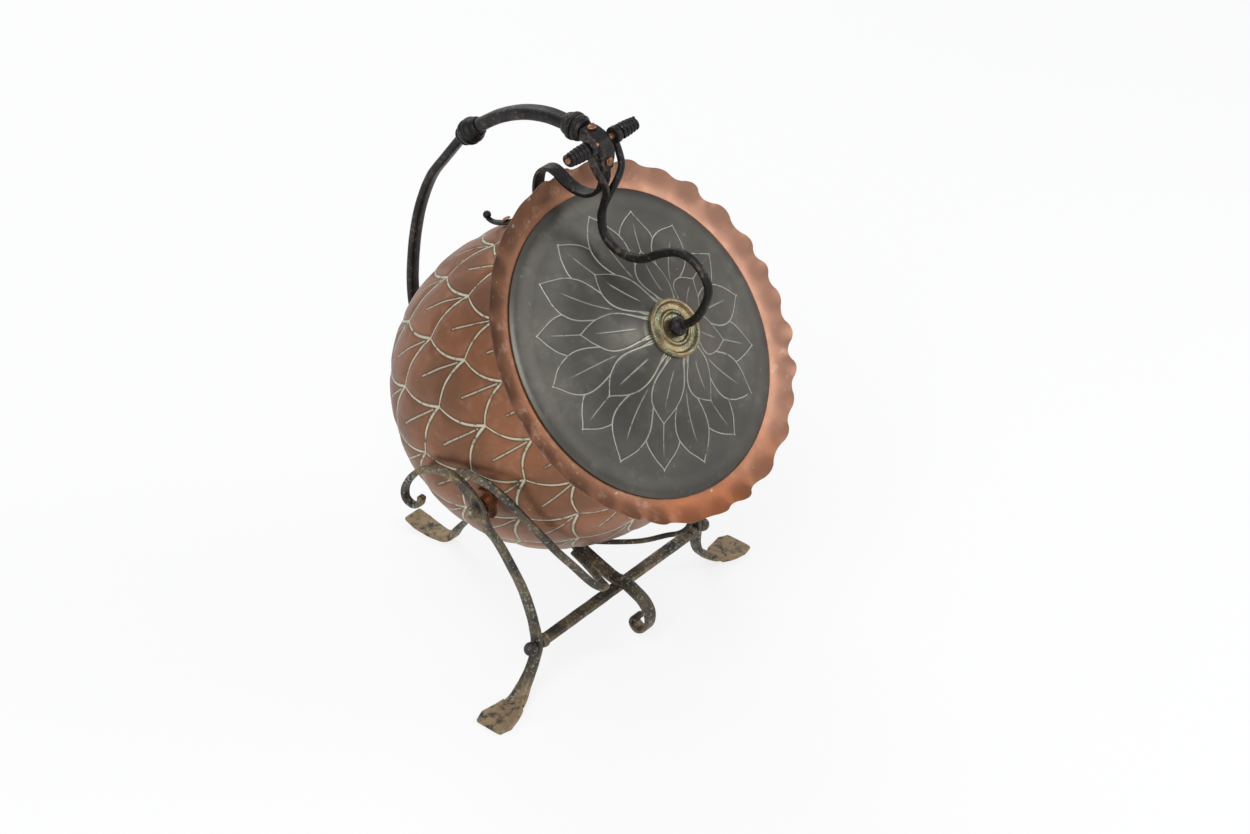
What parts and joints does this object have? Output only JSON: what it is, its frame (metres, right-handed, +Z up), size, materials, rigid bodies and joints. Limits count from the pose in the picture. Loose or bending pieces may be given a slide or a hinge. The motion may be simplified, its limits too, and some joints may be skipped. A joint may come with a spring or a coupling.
{
  "type": "coal scuttle",
  "caption": "Copper coal scuttle shaped like a scaled flower bud with a ruffled rim and an arm-hung round lid, tipping on side pins in a wrought-iron tripod.",
  "frame": {"origin": "on the floor under the middle of the whole scuttle", "axes": "+Z up, mouth towards -Y, X across through the side pins and the lid's crossbar"},
  "size_m": [0.3784, 0.4256, 0.5585],
  "materials": {
    "copper": "aged copper sheet, satin, with pale verdigris in the chased lines",
    "rim_copper": "aged copper, brighter at the bottom, with green spots",
    "lid_bronze": "dark patinated sheet with pale engraved lines",
    "boss_brass": "dull brass with verdigris in the recess",
    "black_iron": "blackened wrought iron, worn brown on its edges",
    "worn_iron": "wrought iron with tan rust and a few golden patches",
    "rivet_copper": "bright worn copper"
  },
  "bodies": {
    "stand": {"leg_left": "worn_iron", "leg_right": "worn_iron", "stretcher_ball_left": "worn_iron", "stretcher_ball_right": "worn_iron", "cradle_loop_left": "worn_iron", "cradle_loop_right": "worn_iron", "pivot_pin_left": "worn_iron", "pivot_pin_right": "worn_iron", "pivot_rosette_left": "rivet_copper", "pivot_rosette_right": "rivet_copper", "pivot_nut_left": "black_iron", "pivot_nut_right": "black_iron", "stretcher_bar": "worn_iron", "centre_bar": "worn_iron", "crossing_rivet": "worn_iron"},
    "bucket": {"bucket_shell": "copper", "frilled_rim": "rim_copper", "scroll_strap": "black_iron", "handle_bar_rear": "black_iron", "handle_collar_rear": "black_iron", "handle_grip": "black_iron", "handle_collar_front": "black_iron", "handle_head": "black_iron", "head_rivet_1": "rivet_copper", "head_rivet_2": "rivet_copper", "hinge_pin": "rivet_copper", "spiral_finial_left": "black_iron", "spiral_finial_right": "black_iron", "strap_rivet_1": "rivet_copper", "strap_rivet_2": "rivet_copper", "foot_rivet_1": "rivet_copper", "foot_rivet_2": "rivet_copper"},
    "lid": {"lid_disc": "lid_bronze", "boss_ring": "boss_brass", "lid_arm": "black_iron", "lid_washer": "boss_brass", "lid_nut": "black_iron"}
  },
  "joints": [
    {"name": "bucket_tilt", "type": "hinge", "parent": "stand", "child": "bucket", "pos_m": [0, -0.0408, 0.23], "axis": [1, 0, 0], "range_deg": [0, 40]},
    {"name": "lid_hinge", "type": "hinge", "parent": "bucket", "child": "lid", "pos_m": [0, -0.0496, 0.541], "axis": [-1, 0, 0], "range_deg": [0, 100]}
  ]
}
